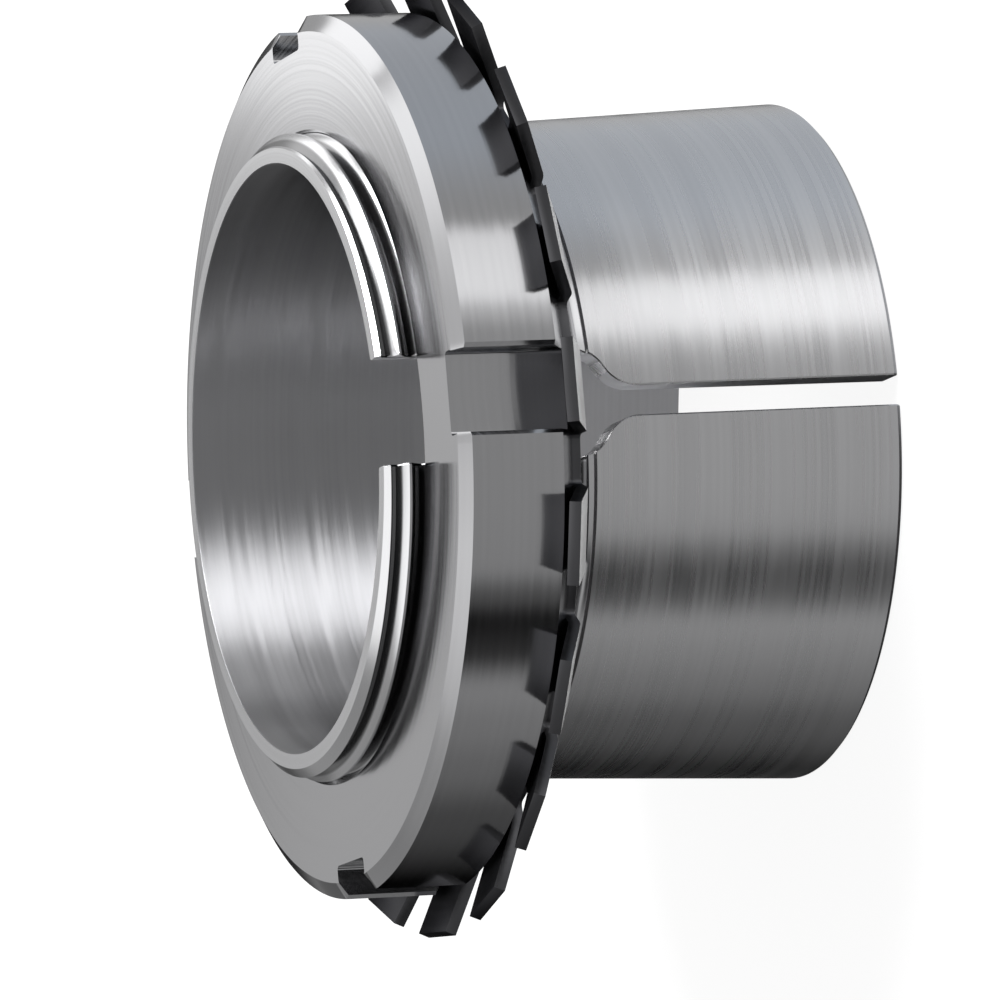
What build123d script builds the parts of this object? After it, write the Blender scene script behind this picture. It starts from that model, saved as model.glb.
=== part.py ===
from build123d import *
import math
import os

# Bearing adapter sleeve with its lock nut and lock washer. All lengths are in millimetres, angles in degrees.
# The axis is Z. The large plain end of the sleeve stands on Z = 0 and the threaded end points up.
# The slit, the keyway, one spanner slot and one washer tab all lie on the -Y side.

# Sleeve
bore_dia = 50.0             # shaft that the sleeve grips
sleeve_length = 45.0
thread_wall = 2.5           # from the bore to the outside of the thread, which is 55 across and has a pitch of 2
taper_ratio = 12.0          # length over which the diameter of the seat changes by one
taper_length = 26.9         # bearing seat, from the large end to the shoulder at the thread
shoulder = 0.38             # square step from the thread up to the small end of the seat
large_end_chamfer = 0.4
bore_chamfer = 0.3
thread_end_chamfer = 1.2
keyway_width = 9.0
keyway_length = 16.6        # straight walls, from the threaded end to the run-out
runout_length = 5.4         # S-shaped walls that narrow the keyway to the slit
slit_width = 2.5

# Lock nut
nut_wall = 10.0             # from the thread to the outside, which is 75 across
nut_width = 10.6
nut_setback = 3.1           # from the threaded end of the sleeve down to the nut
nut_running_clearance = 0.05
nut_front_chamfer_radial = 1.4
nut_front_chamfer_axial = 0.8
nut_bore_chamfer = 0.75
nut_rear_chamfer_radial = 3.3
nut_rear_chamfer_angle = 30.0
slot_count = 4
slot_width = 7.0
slot_depth = 3.0
slot_floor_fillet = 0.4
slot_edge_break = 0.35

# Lock washer
washer_thickness = 1.0
washer_clearance = 0.2      # round the thread
ring_width = 6.0            # from the thread to the bottom of the gaps between the outer tabs
outer_tab_count = 19
outer_tab_width = 7.0
outer_tab_flat = 1.1        # flat root of each tab, beyond the ring
outer_tab_slant = 6.2       # straight stretch beyond the bend
outer_tab_bend = 24.5       # toward the nut
bend_radius = 1.0           # inside of the bend
tab_root_fillet = 0.5
inner_tab_clearance = 0.5   # on each side, in the keyway
inner_tab_tip_clearance = 0.2

# Worked-out sizes
bore_r = bore_dia / 2
thread_r = bore_r + thread_wall
nut_r = thread_r + nut_wall
ring_r = thread_r + ring_width
seat_top_r = thread_r + shoulder
large_end_r = seat_top_r + taper_length / (2 * taper_ratio)
nut_top = sleeve_length - nut_setback
nut_bottom = nut_top - nut_width
washer_bottom = nut_bottom - washer_thickness
overcut = 2.0               # how far a cutting shape runs past what it cuts
slit_side = -90.0           # direction of the slit round the axis, from +X


def revolved(points):
    """Turns a closed outline of (radius, height) points round the axis."""
    outline = make_face(Polyline(*points, close=True))
    return revolve(Plane.XZ * outline, Axis.Z)


def keyway_cutter():
    """Keyway, S-shaped run-out and slit as one through cut in the -Y wall."""
    keyway_half = keyway_width / 2
    slit_half = slit_width / 2
    top = sleeve_length + overcut
    runout_top = sleeve_length - keyway_length
    runout_bottom = runout_top - runout_length
    middle = ((keyway_half + slit_half) / 2, (runout_top + runout_bottom) / 2)
    half = Line((0, top), (keyway_half, top))
    half += Line((keyway_half, top), (keyway_half, runout_top))
    half += TangentArc((keyway_half, runout_top), middle, tangent=(0, -1))
    half += TangentArc((slit_half, runout_bottom), middle, tangent=(0, 1))
    half += Line((slit_half, runout_bottom), (slit_half, -overcut))
    half += Line((slit_half, -overcut), (0, -overcut))
    outline = make_face(half + mirror(half, about=Plane.YZ))
    return extrude(Plane.XZ * outline, amount=large_end_r + overcut)


def adapter_sleeve():
    """Tapered sleeve with a threaded end, split along one side."""
    chamfer_top_r = large_end_r - large_end_chamfer / (2 * taper_ratio)
    profile = [
        (bore_r + bore_chamfer, 0),
        (chamfer_top_r - large_end_chamfer, 0),
        (chamfer_top_r, large_end_chamfer),
        (seat_top_r, taper_length),
        (thread_r, taper_length),
        (thread_r, sleeve_length - thread_end_chamfer),
        (thread_r - thread_end_chamfer, sleeve_length),
        (bore_r + bore_chamfer, sleeve_length),
        (bore_r, sleeve_length - bore_chamfer),
        (bore_r, bore_chamfer),
    ]
    return revolved(profile) - keyway_cutter()


def spanner_slot():
    """One slot cutter on the +X side, with a rounded floor and a bevelled mouth."""
    floor = nut_r - slot_depth
    half = slot_width / 2
    mouth = math.sqrt(nut_r**2 - half**2) - slot_edge_break
    flare = slot_edge_break + overcut
    outline = Polyline(
        (mouth + flare, half + flare),
        (mouth, half),
        (floor, half),
        (floor, -half),
        (mouth, -half),
        (mouth + flare, -half - flare),
        close=True,
    )
    section = make_face(outline)
    corners = section.vertices().sort_by(Axis.X)[:2]
    section = fillet(corners, slot_floor_fillet)
    return Pos(0, 0, nut_bottom - overcut) * extrude(section, amount=nut_width + 2 * overcut)


def lock_nut():
    """Round nut with spanner slots and a conical back."""
    nut_bore_r = thread_r + nut_running_clearance
    rear_chamfer_axial = nut_rear_chamfer_radial * math.tan(math.radians(nut_rear_chamfer_angle))
    profile = [
        (nut_bore_r + nut_bore_chamfer, nut_bottom),
        (nut_r - nut_rear_chamfer_radial, nut_bottom),
        (nut_r, nut_bottom + rear_chamfer_axial),
        (nut_r, nut_top - nut_front_chamfer_axial),
        (nut_r - nut_front_chamfer_radial, nut_top),
        (nut_bore_r + nut_bore_chamfer, nut_top),
        (nut_bore_r, nut_top - nut_bore_chamfer),
        (nut_bore_r, nut_bottom + nut_bore_chamfer),
    ]
    slots = PolarLocations(0, slot_count, start_angle=slit_side) * spanner_slot()
    return revolved(profile) - slots


def washer_plan():
    """Flat part of the washer, seen along the axis."""
    tab_end = ring_r + outer_tab_flat
    tab_base = ring_r - washer_thickness
    tab = Pos((tab_base + tab_end) / 2, 0) * Rectangle(tab_end - tab_base, outer_tab_width)
    plan = Circle(ring_r) + PolarLocations(0, outer_tab_count, start_angle=slit_side) * tab
    roots = [v for v in plan.vertices() if math.isclose(math.hypot(v.X, v.Y), ring_r, rel_tol=0.001)]
    plan = fillet(roots, tab_root_fillet)
    plan -= Circle(thread_r + washer_clearance)
    key_tip = bore_r + inner_tab_tip_clearance
    key_end = thread_r + washer_thickness
    key = Pos((key_tip + key_end) / 2, 0) * Rectangle(key_end - key_tip, keyway_width - 2 * inner_tab_clearance)
    return plan + Rot(0, 0, slit_side) * key


def bent_tab():
    """Bent end of one outer tab on the +X side, from the bend line to the tip."""
    start = ring_r + outer_tab_flat
    across = Vector(-math.sin(math.radians(outer_tab_bend)), math.cos(math.radians(outer_tab_bend)))
    back_arc = JernArc((start, washer_bottom), (1, 0), bend_radius + washer_thickness, outer_tab_bend)
    front_arc = JernArc((start, nut_bottom), (1, 0), bend_radius, outer_tab_bend)
    back_tip = back_arc @ 1 + (back_arc % 1) * outer_tab_slant
    front_tip = back_tip + across * washer_thickness
    outline = back_arc + Line(back_arc @ 1, back_tip) + Line(back_tip, front_tip)
    outline += Line(front_tip, front_arc @ 1) + front_arc + Line(front_arc @ 0, back_arc @ 0)
    return extrude(Plane.XZ * make_face(outline), amount=outer_tab_width / 2, both=True)


def lock_washer():
    """Stamped washer with an inner tab in the keyway and outer tabs bent toward the nut."""
    flat = Pos(0, 0, washer_bottom) * extrude(washer_plan(), amount=washer_thickness)
    tabs = PolarLocations(0, outer_tab_count, start_angle=slit_side) * bent_tab()
    return flat + tabs


os.makedirs("parts", exist_ok=True)
export_step(adapter_sleeve(), "parts/adapter_sleeve.step")
export_step(lock_nut(), "parts/lock_nut.step")
export_step(lock_washer(), "parts/lock_washer.step")
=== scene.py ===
import math

import bmesh
import bpy
from mathutils import Matrix, Vector
from mathutils.geometry import tessellate_polygon


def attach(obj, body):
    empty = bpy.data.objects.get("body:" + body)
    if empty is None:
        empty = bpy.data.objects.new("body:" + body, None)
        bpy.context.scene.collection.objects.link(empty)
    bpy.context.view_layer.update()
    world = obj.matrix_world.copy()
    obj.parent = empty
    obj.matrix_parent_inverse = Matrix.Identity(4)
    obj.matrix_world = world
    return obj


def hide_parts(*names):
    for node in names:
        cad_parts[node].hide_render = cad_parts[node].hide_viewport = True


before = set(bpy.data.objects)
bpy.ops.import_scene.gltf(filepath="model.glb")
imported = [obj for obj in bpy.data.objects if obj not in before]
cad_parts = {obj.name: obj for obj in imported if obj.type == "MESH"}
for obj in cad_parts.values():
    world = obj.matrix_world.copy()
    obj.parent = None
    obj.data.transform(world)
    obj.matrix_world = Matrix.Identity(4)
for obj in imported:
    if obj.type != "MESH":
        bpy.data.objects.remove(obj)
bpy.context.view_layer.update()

# A bearing adapter sleeve with its lock nut and lock washer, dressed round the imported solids.
# Lengths are in millimetres and angles in degrees until a mesh is made, which is in metres.
# An angle round the axis is measured from the slit side, -Y, towards +X.
MM = 0.001
WELD = 0.0005               # vertices nearer than this become one
SLIVER = 0.0002             # edges shorter than this are dissolved
BEVEL_SEGMENTS = 2
SMOOTH_ANGLE = 28.0         # faces that meet at more than this have a sharp edge

# Sleeve
BORE_R = 25.0
LENGTH = 45.0
THREAD_R = 27.5
SEAT_TOP_R = 27.88
TAPER_RATIO = 12.0          # length over which the diameter of the seat changes by one
TAPER_LENGTH = 26.9
LARGE_END_R = SEAT_TOP_R + TAPER_LENGTH / (2 * TAPER_RATIO)
LARGE_END_CHAMFER = 0.4
BORE_CHAMFER = 0.05
END_CHAMFER = 1.2
KEYWAY_HALF = 4.5
SLIT_HALF = 1.25
RUNOUT_TOP = 28.4
RUNOUT_LENGTH = 5.4
RUNOUT_BOTTOM = RUNOUT_TOP - RUNOUT_LENGTH
CUT_BREAK = 0.12            # broken edges of the keyway and the slit
SHOULDER_BREAK = 0.06
THREAD_FOOT = TAPER_LENGTH + 0.07       # where the threaded stretch starts, above the shoulder

# Rows and columns of the sleeve's mesh
SLEEVE_COLUMNS = 300
RUNOUT_ROWS = 18
RUNOUT_STEP = RUNOUT_LENGTH / RUNOUT_ROWS
SEAT_ROWS = [6.0, 12.0, 18.0]           # heights of the rows outside, below the run-out
LOW_BORE_ROWS = [8.0, 16.0]             # heights of the rows inside, below the run-out
HIGH_BORE_ROWS = [34.0, 40.0]           # and above it
SHOULDER_GAP = 0.05         # no row of the seat lies nearer to the shoulder
ANGLE_PASSES = 4            # in which the height and the angle of a thread point settle
FACE_SLACK = 0.01           # how far off a surface its faces may lie, when materials are given out
WALL_SLACK = 0.02           # the same for the walls of the cut
WALL_NORMAL = 0.6           # a face of a wall looks to the side by at least this

# Thread
PITCH = 2.0
THREAD_DEPTH = 1.2
CREST = 0.2                 # flat crest
CREST_BEVEL = 0.3           # bevel at 45 degrees on its upper edge
CREST_PHASE = 1.88          # from the threaded end down to a crest, on the slit side
FLANK = THREAD_DEPTH * math.tan(math.radians(30))
FLANK_SLOPE = THREAD_DEPTH / FLANK
UPPER_FLANK = FLANK * (THREAD_DEPTH - CREST_BEVEL) / THREAD_DEPTH
FADE_START = 28.2           # where the thread starts to run out, above the shoulder
FADE_END = 27.4
MESH_CLEARANCE = 0.07       # between the two threads
NUT_CREST_CUT = 0.15        # how far the nut's crests stop short of the full depth
SPARE_TURNS = 3             # turns of rows past each end, which are pressed onto it
ROWS_PER_TURN = 7

# Lock nut
NUT_TOP = 41.9
NUT_WIDTH = 10.6
NUT_BOTTOM = NUT_TOP - NUT_WIDTH
NUT_R = 37.5
NUT_BORE_R = 27.55
NUT_BORE_CHAMFER = 0.25
FRONT_CHAMFER_R = 1.4
FRONT_CHAMFER_Z = 0.8
REAR_CHAMFER_R = 3.3
REAR_CHAMFER_Z = REAR_CHAMFER_R * math.tan(math.radians(30))
REAR_MID = 0.25             # a row of vertices lies this far up the conical back
SLOTS = 4
SLOT_HALF = 3.5
SLOT_FLOOR = NUT_R - 3.0
SLOT_FILLET = 0.4
SLOT_BREAK = 0.35
SLOT_FLOOR_STEPS = 4
SLOT_FILLET_STEPS = 5
NUT_EDGE = 0.1              # rounded edges, where faces meet at more than the angle below
NUT_EDGE_ANGLE = 20.0
NUT_COLUMNS = 288

# Lock washer
SHEET = 1.0
WASHER_BOTTOM = NUT_BOTTOM - SHEET
WASHER_BORE_R = 27.7
WASHER_BORE_STEPS = 180
RING_R = 33.5
TABS = 19
TAB_HALF = 3.5
TAB_FLAT = 1.1
TAB_SLANT = 6.2
TAB_SLANT_ROWS = (0.5, 1.0)     # rows of vertices along the slant
TAB_BEND = 24.5
BEND_R = 1.0
BEND_STEPS = 8
ROOT_FILLET = 0.5
ROOT_STEPS = 4
GAP_STEPS = 4
KEY_HALF = 4.0
KEY_TIP = 25.2
SHEET_EDGE = 0.14           # rounded edges, where faces meet at more than the angle below
SHEET_EDGE_ANGLE = 40.0
HIGHLIGHT_NORMALS = (-0.98, -0.1)    # z of the normals of the tabs' backs and the back edges, which get a painted highlight

# Steel. Each set of streaks has its scale across, scale along, detail and shift.
FINE_STREAKS = (2400, 0.25, 1.0, 0.0)
BROAD_STREAKS = (500, 0.25, 0.0, 7.0)
WAVE_STREAKS = (2000, 0.5, 2.0, 3.0)
STREAK_ROUGHNESS = 0.6      # of the noise
FINE_SHARE = 0.6            # of the fine streaks, beside the broad ones
STREAK_SPAN = (0.3, 0.7)    # of the noise, over which tone and gloss change
GLOSS_CHANGE = 0.15         # share by which the roughness changes either way
BUMP_STRENGTH = 0.05
BUMP_DEPTH = 0.2
PAINTED_BORE_LIGHT = (27.0, 10.0)    # painted light: from this height down to this one the bore is painted lighter
# Painted shade in the thread's grooves grows from none to full between two distances from a surface
GROOVE_UNDER_CREST = (-0.4, -0.65)
GROOVE_OVER_BORE = (0.4, 0.6)
GROOVE_UNDER_END = (-0.02, -0.06)
GROOVE_OVER_SEAT = (0.1, 0.4)
GROOVE_UNDER_CHAMFER = (-0.02, -0.1)
SLEEVE_GREY = (0.60, 0.60, 0.61)
BORE_GREY = (0.33, 0.33, 0.34)
MILLED_GREY = (0.42, 0.42, 0.43)
NUT_GREY = (0.46, 0.46, 0.47)
WASHER_GREY = (0.09, 0.09, 0.095)
# painted highlight on the washer's tabs
HIGHLIGHT_GREY = (0.3, 0.3, 0.3)

# Camera, fitted to the photograph
CAMERA_AZIMUTH = -7.735
CAMERA_ELEVATION = 19.394
CAMERA_ROLL = 92.08
CAMERA_AIM = (-4.125, 0.560, 25.697)
CAMERA_DISTANCE = 967.3
CAMERA_SENSOR = 36.0
CAMERA_LENS = 408.57
CAMERA_CLIP = (0.05, 20.0)      # metres

# Studio. An azimuth here is measured from the camera's side, which the studio is turned to.
STUDIO_TURN = -7.7
FILL = 0.9                  # light from all round on what isn't glossy
RING_TOP = (-0.12, 0.12)    # sine of the elevation where the ring gives way to the middle
MID_TOP = (0.5, 0.66)       # and the middle to the dome
RING_PANELS = [             # azimuth and level or colour
    (-180, 0.02), (-150, 0.0), (-110, 0.10), (-90, 0.23), (-76, 0.31), (-64, 0.39), (-54, 0.04),
    (-44, 0.01), (-38, 0.13), (-30, 0.40), (-10, 0.42), (24, 0.44), (31, 0.50), (36, 0.80),
    (41, 1.50), (57, 1.40), (62, 0.48), (90, (0.56, 0.60, 0.65)), (140, (0.56, 0.59, 0.63)),
    (160, 0.52), (170, 0.06), (180, 0.02),
]
MID_PANELS = [              # azimuth and level
    (-180, 0.45), (-165, 0.37), (-90, 0.30), (-60, 0.45), (-20, 0.60), (15, 0.55), (50, 0.40),
    (100, 0.40), (140, 0.45), (170, 0.45), (180, 0.45),
]
DOME_PANELS = [             # how far a direction goes to the side, and level
    (-1.0, 0.3), (-0.5, 0.35), (-0.44, 0.5), (-0.37, 0.9), (-0.27, 1.07), (-0.17, 1.15),
    (-0.07, 1.05), (0.1, 0.85), (0.24, 0.83), (0.33, 1.0), (0.4, 1.4), (0.45, 1.7),
    (0.54, 1.85), (1.0, 1.9),
]
SOFTBOXES = [               # azimuth, elevation, inner and outer radius, level
    (-10, 68, 10, 24, 1.45),    # over the threaded end
    (-75, 60, 10, 24, 1.5),     # towards the bottom of the picture
]
BACK_PANEL_PLACE = (60, 250, 150)
BACK_PANEL_SIZE = (400, 200)
BACK_PANEL_TONES = [        # across, from its middle, and level
    (-200, 0.5), (-99, 0.6), (-71, 0.65), (-45, 0.7), (-27, 0.76), (-21, 1.05), (-17, 1.7),
    (200, 1.9),
]
BACK_PANEL_RISE = (-48, -32)    # heights from its middle between which it brightens upwards
BACK_PANEL_LOW = 0.28           # strength below them
LAMP_AIM = (0, 0, 20)
KEY_LAMP = ((500, -150, 700), 500, 20.0)        # place, size and watts
BORE_LAMPS = [              # azimuth, elevation, distance, size and watts, one for each bright band
    (68, 48, 600, 360, 5.9),
    (119, 48, 600, 260, 1.1),
]
FLOOR_HALF = 4000
FLOOR_TONE = 0.9
FLOOR_GLOW = 0.9            # share of plain white in the floor that the camera sees


def polar(r, angle, z):
    """Point at an angle in radians from the slit side."""
    return (r * math.sin(angle), -r * math.cos(angle), z)


def direction(azimuth, elevation):
    """Unit vector away from the object."""
    flat = math.cos(math.radians(elevation))
    return Vector((
        math.sin(math.radians(azimuth)) * flat,
        -math.cos(math.radians(azimuth)) * flat,
        math.sin(math.radians(elevation)),
    ))


def add_object(name, bm, *materials):
    """Makes a mesh object in metres from a mesh in millimetres."""
    bmesh.ops.recalc_face_normals(bm, faces=bm.faces)
    bmesh.ops.scale(bm, vec=(MM, MM, MM), verts=bm.verts)
    mesh = bpy.data.meshes.new(name)
    bm.to_mesh(mesh)
    bm.free()
    mesh.shade_smooth()
    mesh.set_sharp_from_angle(angle=math.radians(SMOOTH_ANGLE))
    for material in materials:
        mesh.materials.append(material)
    obj = bpy.data.objects.new(name, mesh)
    bpy.context.scene.collection.objects.link(obj)
    return obj


def weld(bm):
    """Joins vertices that lie on each other."""
    bmesh.ops.remove_doubles(bm, verts=bm.verts, dist=WELD)


def clean(bm):
    """Welds a mesh and takes out its slivers."""
    weld(bm)
    bmesh.ops.dissolve_degenerate(bm, edges=bm.edges, dist=SLIVER)


def break_edges(bm, angle, width):
    """Welds a mesh and rounds the edges where its faces meet at more than an angle."""
    weld(bm)
    bmesh.ops.recalc_face_normals(bm, faces=bm.faces)
    sharp = math.radians(angle)
    edges = [e for e in bm.edges if len(e.link_faces) == 2 and e.calc_face_angle(0) > sharp]
    bmesh.ops.bevel(
        bm, geom=edges, offset=width, segments=BEVEL_SEGMENTS, profile=0.5,
        affect="EDGES", clamp_overlap=True,
    )


def grid_faces(bm, rows):
    """Quads between neighbouring rows of vertices."""
    for low, high in zip(rows, rows[1:]):
        for i in range(len(low) - 1):
            bm.faces.new((low[i], low[i + 1], high[i + 1], high[i]))


def edge_faces(bm, low, high, left_out=()):
    """Quads between two closed outlines, but for those that start at the points left out."""
    for i in range(len(low)):
        if i not in left_out:
            j = (i + 1) % len(low)
            bm.faces.new((low[i], low[j], high[j], high[i]))


def zip_faces(bm, left, right):
    """Triangles between two chains of vertices that both rise along the axis."""
    i, j = 0, 0
    while i < len(left) - 1 or j < len(right) - 1:
        left_next = left[i + 1].co.z if i < len(left) - 1 else math.inf
        right_next = right[j + 1].co.z if j < len(right) - 1 else math.inf
        if left_next <= right_next:
            bm.faces.new((left[i], left[i + 1], right[j]))
            i += 1
        else:
            bm.faces.new((left[i], right[j + 1], right[j]))
            j += 1


def fill_between(bm, outer, inner):
    """Flat triangles between a closed outline and one inside it."""
    loops = [[v.co.copy() for v in outer], [v.co.copy() for v in inner]]
    verts = outer + inner
    for triangle in tessellate_polygon(loops):
        bm.faces.new([verts[i] for i in triangle])


def opening_half(z):
    """Half width of the keyway, its run-out and the slit at a height."""
    drop = (KEYWAY_HALF - SLIT_HALF) / 2
    half_run = RUNOUT_LENGTH / 2
    radius = (drop ** 2 + half_run ** 2) / (2 * drop)
    if z >= RUNOUT_TOP:
        return KEYWAY_HALF
    if z <= RUNOUT_BOTTOM:
        return SLIT_HALF
    if z > RUNOUT_TOP - half_run:
        return KEYWAY_HALF - radius + math.sqrt(radius ** 2 - (RUNOUT_TOP - z) ** 2)
    return SLIT_HALF + radius - math.sqrt(radius ** 2 - (z - RUNOUT_BOTTOM) ** 2)


def crest_height(angle, turn):
    """Middle of the crest of one turn of the thread at an angle."""
    return LENGTH - CREST_PHASE + PITCH * (angle / math.tau - turn)


def thread_drop(z, angle):
    """How far the outside thread lies below its crest."""
    off = (z - crest_height(angle, 0) + PITCH / 2) % PITCH - PITCH / 2
    if off < 0:
        drop = max(-off - CREST / 2, 0) * FLANK_SLOPE
    else:
        past = max(off - CREST / 2, 0)
        drop = min(past, CREST_BEVEL) + max(past - CREST_BEVEL, 0) * FLANK_SLOPE
    return min(drop, THREAD_DEPTH)


def sleeve_thread_r(z, angle):
    """Radius of the sleeve's outside on the threaded stretch."""
    fade = min(max((z - FADE_END) / (FADE_START - FADE_END), 0), 1)
    r = THREAD_R - thread_drop(z, angle) * fade * fade * (3 - 2 * fade)
    return min(r, THREAD_R - END_CHAMFER + LENGTH - z)


def thread_rows(angle, low, high, chamfer_meets):
    """Heights of the rows of vertices that follow the thread, where it meets a chamfer too."""
    rows = []
    turns = int((LENGTH - low) / PITCH) + SPARE_TURNS
    for turn in range(turns, -SPARE_TURNS, -1):
        lower = crest_height(angle, turn) - CREST / 2
        upper = lower + CREST
        bevelled = upper + CREST_BEVEL
        rows.append(lower - FLANK)
        rows.append(chamfer_meets(lower, 0, 1, FLANK))
        rows += [lower, upper, bevelled]
        rows.append(chamfer_meets(bevelled, CREST_BEVEL, -1, UPPER_FLANK))
        rows.append(bevelled + UPPER_FLANK)
    return [min(max(z, low), high) for z in rows]


def mid_flank(edge, drop, side, flank):
    """Middle height of the flank that starts at an edge. side is 1 below the crest, -1 above it."""
    return edge - side * flank / 2


def end_chamfer_meets(edge, drop, side, flank):
    """Height at which a flank meets the sleeve's end chamfer, or its middle where it doesn't."""
    start = LENGTH - END_CHAMFER
    # flank: r = THREAD_R - drop - slope * (edge - z), chamfer: r = THREAD_R - (z - start)
    slope = FLANK_SLOPE * side
    z = (slope * edge + drop + start) / (slope + 1)
    inside = 0 < side * (edge - z) < flank and z > start
    return z if inside else mid_flank(edge, drop, side, flank)


def column_angle(t, r, z):
    """Angle of a column at a radius and a height. t is 0 at one edge of the cut, 1 at the other."""
    edge = math.asin((opening_half(z) + CUT_BREAK) / r)
    return edge + t * (math.tau - 2 * edge)


def sleeve_column(t):
    """Outside points of one column as (radius, angle, height), from the large end up."""
    seat = [LARGE_END_CHAMFER, *SEAT_ROWS]
    seat += [RUNOUT_BOTTOM + RUNOUT_STEP * i for i in range(RUNOUT_ROWS)]
    seat = [z for z in seat if z < TAPER_LENGTH - SHOULDER_GAP]
    bottom_r = LARGE_END_R - LARGE_END_CHAMFER / (2 * TAPER_RATIO)
    rows = [(0.0, bottom_r - LARGE_END_CHAMFER)]
    rows += [(z, LARGE_END_R - z / (2 * TAPER_RATIO)) for z in seat]
    rows.append((TAPER_LENGTH - SHOULDER_BREAK, SEAT_TOP_R))
    rows.append((TAPER_LENGTH, SEAT_TOP_R - SHOULDER_BREAK))
    rows.append((THREAD_FOOT, THREAD_R))
    points = [(r, column_angle(t, r, z), z) for z, r in rows]
    for row in range(len(thread_rows(0, THREAD_FOOT, LENGTH, end_chamfer_meets))):
        angle = t * math.tau
        for _ in range(ANGLE_PASSES):
            z = thread_rows(angle, THREAD_FOOT, LENGTH, end_chamfer_meets)[row]
            r = sleeve_thread_r(z, angle)
            angle = column_angle(t, r, z)
        points.append((r, angle, z))
    return points


def bore_rows():
    """Heights and radii of the rows of the sleeve's bore."""
    heights = [BORE_CHAMFER, *LOW_BORE_ROWS]
    heights += [RUNOUT_BOTTOM + RUNOUT_STEP * i for i in range(RUNOUT_ROWS + 1)]
    heights += [*HIGH_BORE_ROWS, LENGTH - BORE_CHAMFER]
    mouth_r = BORE_R + BORE_CHAMFER
    return [(0.0, mouth_r), *[(z, BORE_R) for z in heights], (LENGTH, mouth_r)]


def wall_column(bm, side, column, step):
    """Vertices on a wall of the cut, each a step further from the axis than one of a column."""
    wall = []
    for vertex in column:
        r = math.hypot(vertex.co.x, vertex.co.y) + step
        half = opening_half(vertex.co.z)
        wall.append(bm.verts.new((side * half, -math.sqrt(r ** 2 - half ** 2), vertex.co.z)))
    return wall


def cut_wall(bm, side, outer, inner):
    """One wall of the keyway and the slit, with its broken edges, from the columns beside it."""
    outer_wall = wall_column(bm, side, outer, -CUT_BREAK)
    inner_wall = wall_column(bm, side, inner, CUT_BREAK)
    grid_faces(bm, [outer, outer_wall])
    grid_faces(bm, [inner, inner_wall])
    zip_faces(bm, outer_wall, inner_wall)
    for end in (0, -1):
        bm.faces.new((outer[end], outer_wall[end], inner_wall[end], inner[end]))


def sleeve_material_index(corners, normal):
    """0 on the seat, 1 in the bore, 2 on the walls of the cut, 3 above the shoulder."""
    if max(math.hypot(*c.xy) for c in corners) < (BORE_R + BORE_CHAMFER + FACE_SLACK) * MM:
        return 1
    walls = all(abs(abs(c.x) / MM - opening_half(c.z / MM)) < WALL_SLACK for c in corners)
    if walls and abs(normal.x) > WALL_NORMAL:
        return 2
    if max(c.z for c in corners) > (THREAD_FOOT + FACE_SLACK) * MM:
        return 3
    return 0


def sleeve(seat_material, bore_material, cut_material, thread_material):
    """Split tapered sleeve with its thread."""
    bm = bmesh.new()
    shares = [i / SLEEVE_COLUMNS for i in range(SLEEVE_COLUMNS + 1)]
    columns = [sleeve_column(t) for t in shares]
    outside = [[bm.verts.new(polar(*c[row])) for c in columns] for row in range(len(columns[0]))]
    inside = []
    for z, r in bore_rows():
        inside.append([bm.verts.new(polar(r, column_angle(t, r, z), z)) for t in shares])
    grid_faces(bm, outside)
    grid_faces(bm, inside)
    grid_faces(bm, [outside[0], inside[0]])
    grid_faces(bm, [outside[-1], inside[-1]])
    cut_wall(bm, 1, [row[0] for row in outside], [row[0] for row in inside])
    cut_wall(bm, -1, [row[-1] for row in outside], [row[-1] for row in inside])
    clean(bm)
    materials = (seat_material, bore_material, cut_material, thread_material)
    piece = add_object("threaded_sleeve", bm, *materials)
    for face in piece.data.polygons:
        corners = [piece.data.vertices[i].co for i in face.vertices]
        face.material_index = sleeve_material_index(corners, face.normal)
    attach(piece, "sleeve_body")
    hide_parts("adapter_sleeve")
    return piece


def slot_side():
    """Half of a spanner slot in plan as (across, out) points, from its middle to its mouth."""
    flat = SLOT_HALF - SLOT_FILLET
    points = [(flat * i / SLOT_FLOOR_STEPS, SLOT_FLOOR) for i in range(SLOT_FLOOR_STEPS + 1)]
    for i in range(1, SLOT_FILLET_STEPS + 1):
        turn = math.radians(90 * i / SLOT_FILLET_STEPS)
        x = flat + SLOT_FILLET * math.sin(turn)
        y = SLOT_FLOOR + SLOT_FILLET - SLOT_FILLET * math.cos(turn)
        points.append((x, y))
    mouth_r = math.sqrt(NUT_R ** 2 - SLOT_HALF ** 2) - SLOT_BREAK
    return points + [(SLOT_HALF, (SLOT_FLOOR + mouth_r) / 2), (SLOT_HALF, mouth_r)]


def nut_plan():
    """Outline of the nut in plan as (radius, angle) points, with radius None on its turned edge."""
    points = []
    quarter = math.tau / SLOTS
    arc_steps = NUT_COLUMNS // SLOTS
    slot = slot_side()
    flare_angle = math.asin((SLOT_HALF + SLOT_BREAK) / NUT_R)
    for k in range(SLOTS):
        centre = k * quarter
        for x, y in slot:
            points.append((math.hypot(x, y), centre + math.atan2(x, y)))
        for i in range(arc_steps + 1):
            angle = flare_angle + (quarter - 2 * flare_angle) * i / arc_steps
            points.append((None, centre + angle))
        for x, y in slot[:0:-1]:
            points.append((math.hypot(x, y), centre + quarter - math.atan2(x, y)))
    return points


def nut_thread_r(z, angle):
    """Radius of the nut's bore with its thread and the chamfers at both mouths."""
    drop = thread_drop(z, angle)
    r = THREAD_R + MESH_CLEARANCE - min(drop, THREAD_DEPTH - NUT_CREST_CUT)
    r = max(r, NUT_BORE_R + NUT_BORE_CHAMFER - (NUT_TOP - z))
    return max(r, NUT_BORE_R + NUT_BORE_CHAMFER - (z - NUT_BOTTOM))


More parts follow.
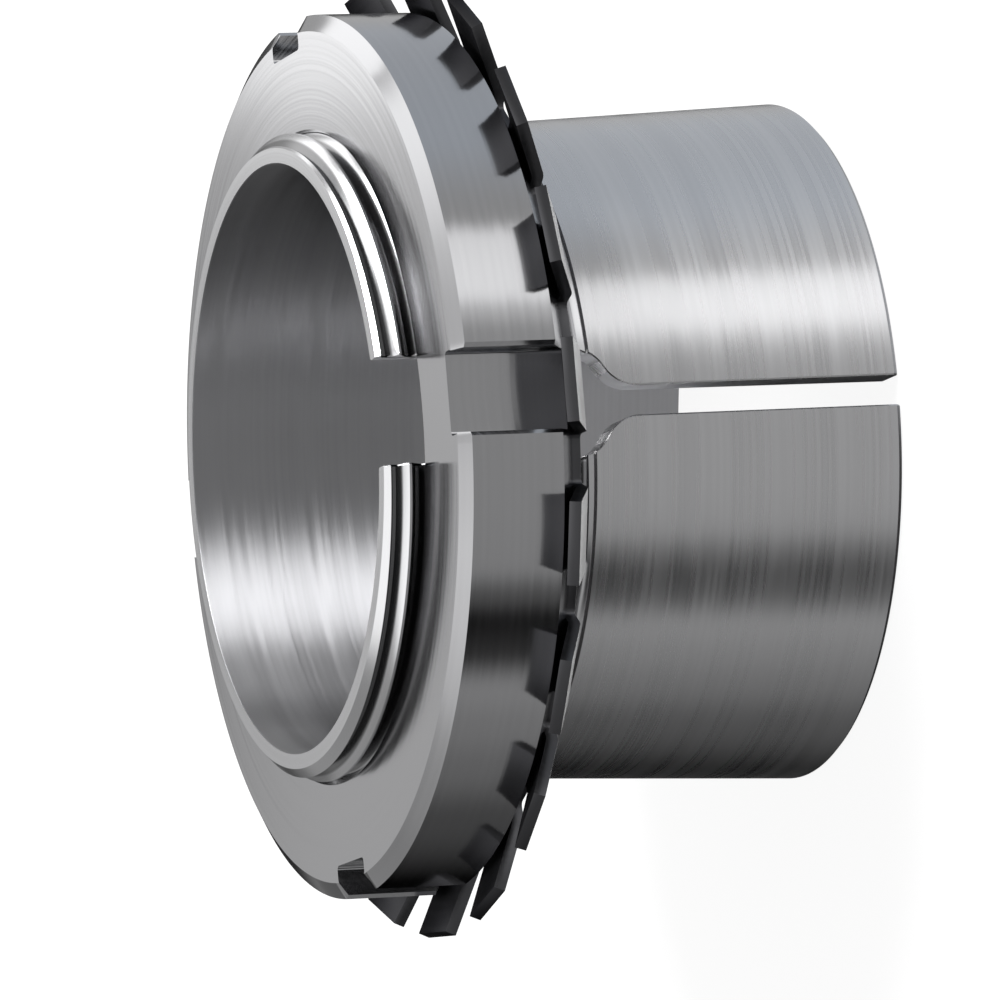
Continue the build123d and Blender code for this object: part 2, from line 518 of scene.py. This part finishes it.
def nut_bore(bm):
    """Threaded bore. Its rows follow the thread, so they join one turn further on."""
    mesh = []
    for i in range(NUT_COLUMNS):
        angle = math.tau * i / NUT_COLUMNS
        rows = thread_rows(angle, NUT_BOTTOM, NUT_TOP, mid_flank)
        mesh.append([bm.verts.new(polar(nut_thread_r(z, angle), angle, z)) for z in rows])
    for i in range(NUT_COLUMNS):
        here, there = mesh[i], mesh[(i + 1) % NUT_COLUMNS]
        shift = ROWS_PER_TURN if i == NUT_COLUMNS - 1 else 0
        for j in range(len(here) - 1):
            if j - shift >= 0 and j + 1 - shift < len(there):
                bm.faces.new((here[j], there[j - shift], there[j + 1 - shift], here[j + 1]))


def nut_outside(bm):
    """Turned outside of the nut with its slots, and its two faces up to the mouths of the bore."""
    plan = nut_plan()
    levels = [
        (NUT_R - REAR_CHAMFER_R, NUT_BOTTOM),
        (NUT_R - REAR_CHAMFER_R * (1 - REAR_MID), NUT_BOTTOM + REAR_CHAMFER_Z * REAR_MID),
        (NUT_R, NUT_BOTTOM + REAR_CHAMFER_Z),
        (NUT_R, (NUT_BOTTOM + NUT_TOP) / 2),
        (NUT_R, NUT_TOP - FRONT_CHAMFER_Z),
        (NUT_R - FRONT_CHAMFER_R, NUT_TOP),
    ]
    rows = []
    for radius, z in levels:
        row = []
        for r, angle in plan:
            row.append(bm.verts.new(polar(radius if r is None else min(r, radius), angle, z)))
        rows.append(row + row[:1])
    grid_faces(bm, rows)
    mouth_r = NUT_BORE_R + NUT_BORE_CHAMFER
    angles = [math.tau * i / NUT_COLUMNS for i in range(NUT_COLUMNS)]
    for row, z in ((rows[0], NUT_BOTTOM), (rows[-1], NUT_TOP)):
        inner = [bm.verts.new(polar(mouth_r, angle, z)) for angle in angles]
        fill_between(bm, row[:-1], inner)


def nut(material):
    """Round nut with spanner slots and a threaded bore."""
    bm = bmesh.new()
    nut_outside(bm)
    break_edges(bm, NUT_EDGE_ANGLE, NUT_EDGE)
    nut_bore(bm)
    clean(bm)
    piece = add_object("slotted_nut", bm, material)
    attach(piece, "nut_body")
    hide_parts("lock_nut")


def tab_side():
    """One side of a tab's flat root as (across, out) points, from the gap to the bend."""
    fillet_y = math.sqrt((RING_R + ROOT_FILLET) ** 2 - (TAB_HALF + ROOT_FILLET) ** 2)
    root_angle = math.atan2(TAB_HALF + ROOT_FILLET, fillet_y)
    points = []
    for i in range(ROOT_STEPS + 1):
        turn = root_angle + (math.radians(90) - root_angle) * i / ROOT_STEPS
        x = TAB_HALF + ROOT_FILLET - ROOT_FILLET * math.sin(turn)
        y = fillet_y - ROOT_FILLET * math.cos(turn)
        points.append((x, y))
    return points + [(TAB_HALF, RING_R + TAB_FLAT)]


def washer_outline():
    """Outline of the washer's flat part as (radius, angle) points, and which start a bend."""
    points, bend_starts = [], []
    side = tab_side()
    pitch = math.tau / TABS
    for k in range(TABS):
        centre = k * pitch
        gap_start = centre + math.atan2(*side[0])
        gap_end = centre + pitch - math.atan2(*side[0])
        for x, y in reversed(side):
            points.append((math.hypot(x, y), centre + math.atan2(x, y)))
        for i in range(1, GAP_STEPS):
            points.append((RING_R, gap_start + (gap_end - gap_start) * i / GAP_STEPS))
        for x, y in side:
            points.append((math.hypot(x, y), centre + pitch - math.atan2(x, y)))
        bend_starts.append(len(points) - 1)
    return points, bend_starts


def washer_bore():
    """Inner outline of the washer as (radius, angle) points, with its tab in the keyway."""
    half = math.asin(KEY_HALF / WASHER_BORE_R)
    tip_r, tip_angle = math.hypot(KEY_HALF, KEY_TIP), math.atan2(KEY_HALF, KEY_TIP)
    points = [(tip_r, tip_angle)]
    for i in range(WASHER_BORE_STEPS + 1):
        points.append((WASHER_BORE_R, half + (math.tau - 2 * half) * i / WASHER_BORE_STEPS))
    return points + [(tip_r, -tip_angle)]


def washer_sheet(bm):
    """Flat part of the washer, open where the tabs bend."""
    outline, bend_starts = washer_outline()
    bore = washer_bore()
    faces = []
    for z in (WASHER_BOTTOM, NUT_BOTTOM):
        outer = [bm.verts.new(polar(r, angle, z)) for r, angle in outline]
        inner = [bm.verts.new(polar(r, angle, z)) for r, angle in bore]
        fill_between(bm, outer, inner)
        faces.append((outer, inner))
    (back_outer, back_inner), (front_outer, front_inner) = faces
    edge_faces(bm, back_outer, front_outer, bend_starts)
    edge_faces(bm, back_inner, front_inner)


def tab_profile():
    """Stations along a bent tab: (out, up) of its back and of its front, from the sheet's back."""
    start = RING_R + TAB_FLAT
    centre = SHEET + BEND_R
    stations = []
    for i in range(BEND_STEPS + 1):
        turn = math.radians(TAB_BEND * i / BEND_STEPS)
        back = (start + centre * math.sin(turn), centre - centre * math.cos(turn))
        front = (start + BEND_R * math.sin(turn), centre - BEND_R * math.cos(turn))
        stations.append((back, front))
    bend_end = stations[-1]
    turn = math.radians(TAB_BEND)
    run = (TAB_SLANT * math.cos(turn), TAB_SLANT * math.sin(turn))
    for share in TAB_SLANT_ROWS:
        stations.append([(out + run[0] * share, up + run[1] * share) for out, up in bend_end])
    return stations


def washer_tab(bm, angle):
    """Bent part of one tab, at an angle in radians."""
    out = Vector(polar(1, angle, 0))
    across = Vector(polar(1, angle + math.pi / 2, 0))
    rows = []
    for back, front in tab_profile():
        row = []
        for side, point in ((-1, back), (1, back), (1, front), (-1, front)):
            place = out * point[0] + across * side * TAB_HALF
            row.append(bm.verts.new((place.x, place.y, WASHER_BOTTOM + point[1])))
        rows.append(row + row[:1])
    grid_faces(bm, rows)
    bm.faces.new(rows[-1][:4])


def washer(material, highlight_material):
    """Lock washer with bent outer tabs, with a painted highlight on their backs, and one inner tab.
    """
    bm = bmesh.new()
    washer_sheet(bm)
    for k in range(TABS):
        washer_tab(bm, k * math.tau / TABS)
    break_edges(bm, SHEET_EDGE_ANGLE, SHEET_EDGE)
    # painted highlight: the faces of the tabs' backs and back edges get the light grey material
    for face in bm.faces:
        face.normal_update()
        if HIGHLIGHT_NORMALS[0] < face.normal.z < HIGHLIGHT_NORMALS[1]:
            face.material_index = 1
    piece = add_object("tabbed_washer", bm, material, highlight_material)
    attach(piece, "washer_body")
    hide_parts("lock_washer")


def new_material(name):
    """A material and its node tree."""
    material = bpy.data.materials.new(name)
    material.use_nodes = True
    return material, material.node_tree


def grey(level):
    """Opaque colour of one level."""
    return (level, level, level, 1)


def join(tree, value, socket):
    """Links a socket, or sets a value."""
    if isinstance(value, bpy.types.NodeSocket):
        tree.links.new(value, socket)
    else:
        socket.default_value = value


def new_node(tree, kind, **settings):
    """Adds a node. A setting that names an input is joined to it, any other is set on the node."""
    made = tree.nodes.new(kind)
    for name, value in settings.items():
        label = name.replace("_", " ").title()
        if label in made.inputs:
            join(tree, value, made.inputs[label])
        else:
            setattr(made, name, value)
    return made


def calc(tree, operation, a, b=0.0, c=0.0):
    """Result of a Math node."""
    made = new_node(tree, "ShaderNodeMath", operation=operation)
    for value, socket in zip((a, b, c), made.inputs):
        join(tree, value, socket)
    return made.outputs[0]


def vector_calc(tree, operation, a, b=None, scale=None):
    """Result of a Vector Math node: a number from LENGTH or DOT_PRODUCT, and else a vector."""
    made = new_node(tree, "ShaderNodeVectorMath", operation=operation)
    join(tree, a, made.inputs[0])
    if b is not None:
        join(tree, b, made.inputs[1])
    if scale is not None:
        join(tree, scale, made.inputs["Scale"])
    return made.outputs["Value" if operation in ("LENGTH", "DOT_PRODUCT") else "Vector"]


def mix_colours(tree, share, first, second):
    """Result of a Mix node for colours, whose sockets are told apart by number alone."""
    made = new_node(tree, "ShaderNodeMix", data_type="RGBA")
    for value, socket in ((share, 0), (first, 6), (second, 7)):
        join(tree, value, made.inputs[socket])
    return made.outputs[2]


def spread(tree, value, low, high):
    """Soft step from 0 at low to 1 at high."""
    return new_node(
        tree, "ShaderNodeMapRange", value=value, from_min=low, from_max=high,
        interpolation_type="SMOOTHSTEP",
    ).outputs[0]


def ramp(tree, factor, stops, interpolation="EASE"):
    """Colour ramp from (place, grey or colour) stops."""
    made = tree.nodes.new("ShaderNodeValToRGB")
    made.color_ramp.interpolation = interpolation
    elements = made.color_ramp.elements
    while len(elements) < len(stops):
        elements.new(0.5)
    for element, (place, colour) in zip(elements, stops):
        element.position = place
        element.color = (*colour, 1) if isinstance(colour, tuple) else grey(colour)
    join(tree, factor, made.inputs["Fac"])
    return made.outputs["Color"]


def stops_within(reach, panels):
    """Stops of a ramp from (place, level) panels, with places from -reach to reach."""
    return [((place + reach) / (2 * reach), level) for place, level in panels]


def around(tree):
    """Coordinates round the axis: unit direction away from it, distance from it and height."""
    place = tree.nodes.new("ShaderNodeTexCoord").outputs["Object"]
    parts = new_node(tree, "ShaderNodeSeparateXYZ", vector=place).outputs
    flat = new_node(tree, "ShaderNodeCombineXYZ", x=parts["X"], y=parts["Y"]).outputs[0]
    return vector_calc(tree, "NORMALIZE", flat), vector_calc(tree, "LENGTH", flat), parts["Z"]


def streaks(tree, across, along, detail, shift):
    """Noise drawn out round the axis.

    across is its scale across the streaks, per metre. One turn is a circle of radius along in it.
    """
    out, radius, height = around(tree)
    turn = new_node(tree, "ShaderNodeSeparateXYZ", vector=out).outputs
    # height on walls and radius on faces both move across the streaks
    up = calc(tree, "MULTIPLY", height, across)
    outward = calc(tree, "MULTIPLY", radius, across)
    place = new_node(
        tree, "ShaderNodeCombineXYZ",
        x=calc(tree, "MULTIPLY", turn["X"], along),
        y=calc(tree, "MULTIPLY", turn["Y"], along),
        z=calc(tree, "ADD", calc(tree, "ADD", up, outward), shift),
    ).outputs[0]
    noise = new_node(
        tree, "ShaderNodeTexNoise", vector=place, scale=1.0, detail=detail,
        roughness=STREAK_ROUGHNESS,
    )
    return noise.outputs["Fac"]


def painted_groove_shade(tree):
    """Mask of painted shade: 1 in the grooves of the outside thread, 0 on its crests, on the end
    chamfer and elsewhere.
    """
    _, radius, height = around(tree)
    cone = calc(tree, "ADD", radius, height)
    limits = [
        (radius, THREAD_R, GROOVE_UNDER_CREST),
        (radius, BORE_R, GROOVE_OVER_BORE),
        (height, LENGTH, GROOVE_UNDER_END),
        (height, TAPER_LENGTH, GROOVE_OVER_SEAT),
        (cone, THREAD_R + LENGTH - END_CHAMFER, GROOVE_UNDER_CHAMFER),
    ]
    share = 1.0
    for value, surface, (none, full) in limits:
        within = spread(tree, value, (surface + none) * MM, (surface + full) * MM)
        share = calc(tree, "MULTIPLY", within, share)
    return share


def steel_tone(tree, noise, colour, streak, groove_shade_tone, bore_light_tone):
    """Colour of the steel, with streaks, painted shade in the thread's grooves and painted light
    towards the large end.
    """
    low = tuple(c * (1 - streak) for c in colour)
    high = tuple(c * (1 + streak) for c in colour)
    tone = ramp(tree, noise, list(zip(STREAK_SPAN, (low, high))), "LINEAR")
    # painted shade: the thread's grooves are darkened
    grooves = calc(tree, "MULTIPLY", painted_groove_shade(tree), 1 - groove_shade_tone)
    # painted light: lighter towards the large end
    depth = spread(tree, around(tree)[2], *[z * MM for z in PAINTED_BORE_LIGHT])
    lighter = calc(tree, "MULTIPLY_ADD", depth, bore_light_tone - 1, 1.0)
    return vector_calc(tree, "SCALE", tone, scale=calc(tree, "SUBTRACT", lighter, grooves))


def steel_normal(tree, noise, tangent, waviness):
    """Normal with the streaks' relief, and tilted round the axis by other streaks."""
    bump = new_node(
        tree, "ShaderNodeBump", height=noise, strength=BUMP_STRENGTH, distance=BUMP_DEPTH * MM,
    )
    wave = calc(tree, "SUBTRACT", streaks(tree, *WAVE_STREAKS), 0.5)
    lean = vector_calc(tree, "SCALE", tangent, scale=calc(tree, "MULTIPLY", wave, waviness))
    return vector_calc(tree, "NORMALIZE", vector_calc(tree, "ADD", bump.outputs["Normal"], lean))


def steel(name, colour, roughness, anisotropy=0.0, streak=0.05, waviness=0.0, groove_shade_tone=1.0,
          bore_light_tone=1.0, edge_tint=1.0, metal=1.0):
    """Turned steel with fine streaks round the axis, in tone, in gloss and in relief.

    streak is how much they change the tone, and waviness how much they tilt the surface.
    groove_shade_tone paints shade into the thread's grooves, and bore_light_tone paints light onto
    what lies by the large end.
    edge_tint darkens reflections at a grazing angle, and metal below 1 adds plain grey.
    """
    material, tree = new_material(name)
    inputs = tree.nodes["Principled BSDF"].inputs
    inputs["Metallic"].default_value = metal
    inputs["Anisotropic"].default_value = anisotropy
    inputs["Specular Tint"].default_value = grey(edge_tint)
    fine = calc(tree, "MULTIPLY", streaks(tree, *FINE_STREAKS), FINE_SHARE)
    broad = calc(tree, "MULTIPLY", streaks(tree, *BROAD_STREAKS), 1 - FINE_SHARE)
    noise = calc(tree, "ADD", fine, broad)
    tone = steel_tone(tree, noise, colour, streak, groove_shade_tone, bore_light_tone)
    gloss = new_node(
        tree, "ShaderNodeMapRange", value=noise, from_min=STREAK_SPAN[0], from_max=STREAK_SPAN[1],
        to_min=roughness * (1 - GLOSS_CHANGE), to_max=roughness * (1 + GLOSS_CHANGE),
    ).outputs[0]
    # anisotropy draws reflections out across the streaks, which run round the axis
    tangent = new_node(tree, "ShaderNodeTangent", direction_type="RADIAL", axis="Z").outputs[0]
    normal = tree.nodes.new("ShaderNodeNewGeometry").outputs["Normal"]
    join(tree, tone, inputs["Base Color"])
    join(tree, gloss, inputs["Roughness"])
    join(tree, steel_normal(tree, noise, tangent, waviness), inputs["Normal"])
    join(tree, vector_calc(tree, "CROSS_PRODUCT", tangent, normal), inputs["Tangent"])
    return material


def sleeve_steel():
    """Finely turned seat of the sleeve."""
    return steel("sleeve steel", SLEEVE_GREY, 0.28, anisotropy=0.8, waviness=0.05)


def bore_steel():
    """Bored inside of the sleeve, with coarser streaks and painted light towards the large end."""
    return steel(
        "bore steel", BORE_GREY, 0.48, anisotropy=1.0, streak=0.08, waviness=0.14, bore_light_tone=1.65,
    )


def milled_steel():
    """Walls of the keyway and the slit."""
    return steel("milled steel", MILLED_GREY, 0.4, streak=0.03)


def thread_steel():
    """The sleeve's thread, with painted shade in its grooves."""
    return steel("thread steel", SLEEVE_GREY, 0.2, groove_shade_tone=0.3)


def nut_steel():
    """Polished faces of the nut."""
    return steel("nut steel", NUT_GREY, 0.14, anisotropy=0.5, streak=0.03, waviness=0.02)


def washer_steel():
    """Dark stamped sheet."""
    return steel("washer steel", WASHER_GREY, 0.35, edge_tint=0.25)


def highlight_steel():
    """Painted highlight: a dull light grey that stands in for light on the tabs' backs and back
    edges.
    """
    return steel("painted highlight steel", HIGHLIGHT_GREY, 0.5, metal=0.3)


def add_camera():
    """Camera at the photograph's viewing angle, on its side because the part stands on its end."""
    data = bpy.data.cameras.new("camera")
    data.sensor_width = CAMERA_SENSOR
    data.lens = CAMERA_LENS
    data.clip_start, data.clip_end = CAMERA_CLIP
    camera = bpy.data.objects.new("camera", data)
    back = direction(CAMERA_AZIMUTH, CAMERA_ELEVATION)
    upright = back.to_track_quat("Z", "Y").to_matrix()
    turned = upright @ Matrix.Rotation(math.radians(-CAMERA_ROLL), 3, "Z")
    place = Vector(CAMERA_AIM) + back * CAMERA_DISTANCE
    camera.matrix_world = Matrix.Translation(place * MM) @ turned.to_4x4()
    bpy.context.scene.collection.objects.link(camera)
    bpy.context.scene.camera = camera


def mirrored_studio(tree, towards):
    """What the steel mirrors in a direction: panels and flags in a ring, a dome and softboxes."""
    parts = new_node(tree, "ShaderNodeSeparateXYZ", vector=towards).outputs
    front = calc(tree, "MULTIPLY", parts["Y"], -1.0)
    azimuth = calc(tree, "ARCTAN2", parts["X"], front)
    turn = calc(tree, "MULTIPLY_ADD", azimuth, 1 / math.tau, 0.5)
    side = calc(tree, "MULTIPLY_ADD", parts["X"], 0.5, 0.5)
    ring = ramp(tree, turn, stops_within(180, RING_PANELS))
    middle = ramp(tree, turn, stops_within(180, MID_PANELS))
    dome = ramp(tree, side, stops_within(1, DOME_PANELS))
    mirrored = mix_colours(tree, spread(tree, parts["Z"], *RING_TOP), ring, middle)
    mirrored = mix_colours(tree, spread(tree, parts["Z"], *MID_TOP), mirrored, dome)
    for box_azimuth, elevation, inner, outer, level in SOFTBOXES:
        near = vector_calc(tree, "DOT_PRODUCT", towards, direction(box_azimuth, elevation))
        glow = spread(tree, near, math.cos(math.radians(outer)), math.cos(math.radians(inner)))
        mirrored = mix_colours(tree, glow, mirrored, grey(level))
    return mirrored


def add_world():
    """Studio round the object: white to the camera, panels to the steel and else plain light."""
    world = bpy.data.worlds.new("studio")
    bpy.context.scene.world = world
    world.use_nodes = True
    tree = world.node_tree
    towards = new_node(
        tree, "ShaderNodeVectorRotate", angle=math.radians(-STUDIO_TURN), rotation_type="Z_AXIS",
        vector=tree.nodes.new("ShaderNodeTexCoord").outputs["Generated"],
    ).outputs[0]
    rays = tree.nodes.new("ShaderNodeLightPath").outputs
    plain = calc(tree, "MAXIMUM", rays["Is Camera Ray"], rays["Is Transmission Ray"])
    mirrored = mirrored_studio(tree, towards)
    lit = mix_colours(tree, rays["Is Glossy Ray"], grey(FILL), mirrored)
    seen = mix_colours(tree, plain, lit, grey(1))
    join(tree, seen, tree.nodes["Background"].inputs["Color"])


def add_floor():
    """Pale floor that the camera sees nearly white, with the object's soft shadow."""
    bm = bmesh.new()
    bmesh.ops.create_grid(bm, x_segments=1, y_segments=1, size=FLOOR_HALF)
    material, tree = new_material("floor")
    shader = tree.nodes["Principled BSDF"]
    shader.inputs["Base Color"].default_value = grey(FLOOR_TONE)
    shader.inputs["Roughness"].default_value = 1.0
    glow = new_node(tree, "ShaderNodeEmission", color=grey(1), strength=1.0)
    seen = tree.nodes.new("ShaderNodeLightPath").outputs["Is Camera Ray"]
    mix = new_node(tree, "ShaderNodeMixShader", fac=calc(tree, "MULTIPLY", seen, FLOOR_GLOW))
    join(tree, shader.outputs[0], mix.inputs[1])
    join(tree, glow.outputs[0], mix.inputs[2])
    join(tree, mix.outputs[0], tree.nodes["Material Output"].inputs["Surface"])
    floor = add_object("floor", bm, material)
    floor.visible_glossy = False


def back_panel_glow():
    """Glow with tones across the panel, stronger towards its top."""
    material, tree = new_material("back panel")
    place = tree.nodes.new("ShaderNodeTexCoord").outputs["Object"]
    parts = new_node(tree, "ShaderNodeSeparateXYZ", vector=place).outputs
    reach = BACK_PANEL_SIZE[0] / 2
    share = calc(tree, "MULTIPLY_ADD", parts["X"], 1 / (2 * reach * MM), 0.5)
    tone = ramp(tree, share, stops_within(reach, BACK_PANEL_TONES))
    rise = spread(tree, parts["Z"], *[z * MM for z in BACK_PANEL_RISE])
    level = calc(tree, "MULTIPLY_ADD", rise, 1 - BACK_PANEL_LOW, BACK_PANEL_LOW)
    glow = new_node(tree, "ShaderNodeEmission", color=tone, strength=level)
    join(tree, glow.outputs[0], tree.nodes["Material Output"].inputs["Surface"])
    return material


def add_back_panel():
    """Glowing sheet behind the object that only the steel sees, brighter at the picture's top."""
    bm = bmesh.new()
    across, up = [side / 2 for side in BACK_PANEL_SIZE]
    corners = [(-across, 0, -up), (across, 0, -up), (across, 0, up), (-across, 0, up)]
    bm.faces.new([bm.verts.new(c) for c in corners])
    panel = add_object("back_panel", bm, back_panel_glow())
    turn = Matrix.Rotation(math.radians(STUDIO_TURN), 4, "Z")
    panel.matrix_world = turn @ Matrix.Translation(Vector(BACK_PANEL_PLACE) * MM)
    panel.visible_camera = False
    panel.visible_diffuse = False
    panel.visible_shadow = False


def add_lamp(name, place, size, watts):
    """Soft round area lamp aimed at the object."""
    data = bpy.data.lights.new(name, "AREA")
    data.shape = "DISK"
    data.size = size * MM
    data.energy = watts
    lamp = bpy.data.objects.new(name, data)
    lamp.location = Vector(place) * MM
    lamp.rotation_euler = (Vector(place) - Vector(LAMP_AIM)).to_track_quat("Z", "Y").to_euler()
    lamp.visible_camera = False
    bpy.context.scene.collection.objects.link(lamp)
    return lamp


def add_key_lamp():
    """Lamp that draws the shadow on the floor. The steel doesn't mirror it."""
    lamp = add_lamp("key", *KEY_LAMP)
    lamp.visible_glossy = False


def add_bore_lamps(piece):
    """Lamps for the bands in the bore, which light the sleeve alone."""
    lit = bpy.data.collections.new("lit by the bore lamps")
    lit.objects.link(piece)
    for azimuth, elevation, distance, size, watts in BORE_LAMPS:
        place = direction(azimuth + STUDIO_TURN, elevation) * distance
        lamp = add_lamp("bore_lamp", place, size, watts)
        lamp.light_linking.receiver_collection = lit


add_camera()
add_world()
add_floor()
add_key_lamp()
add_back_panel()
threaded_sleeve = sleeve(sleeve_steel(), bore_steel(), milled_steel(), thread_steel())
add_bore_lamps(threaded_sleeve)
nut(nut_steel())
washer(washer_steel(), highlight_steel())

bpy.context.scene.view_settings.view_transform = "Standard"
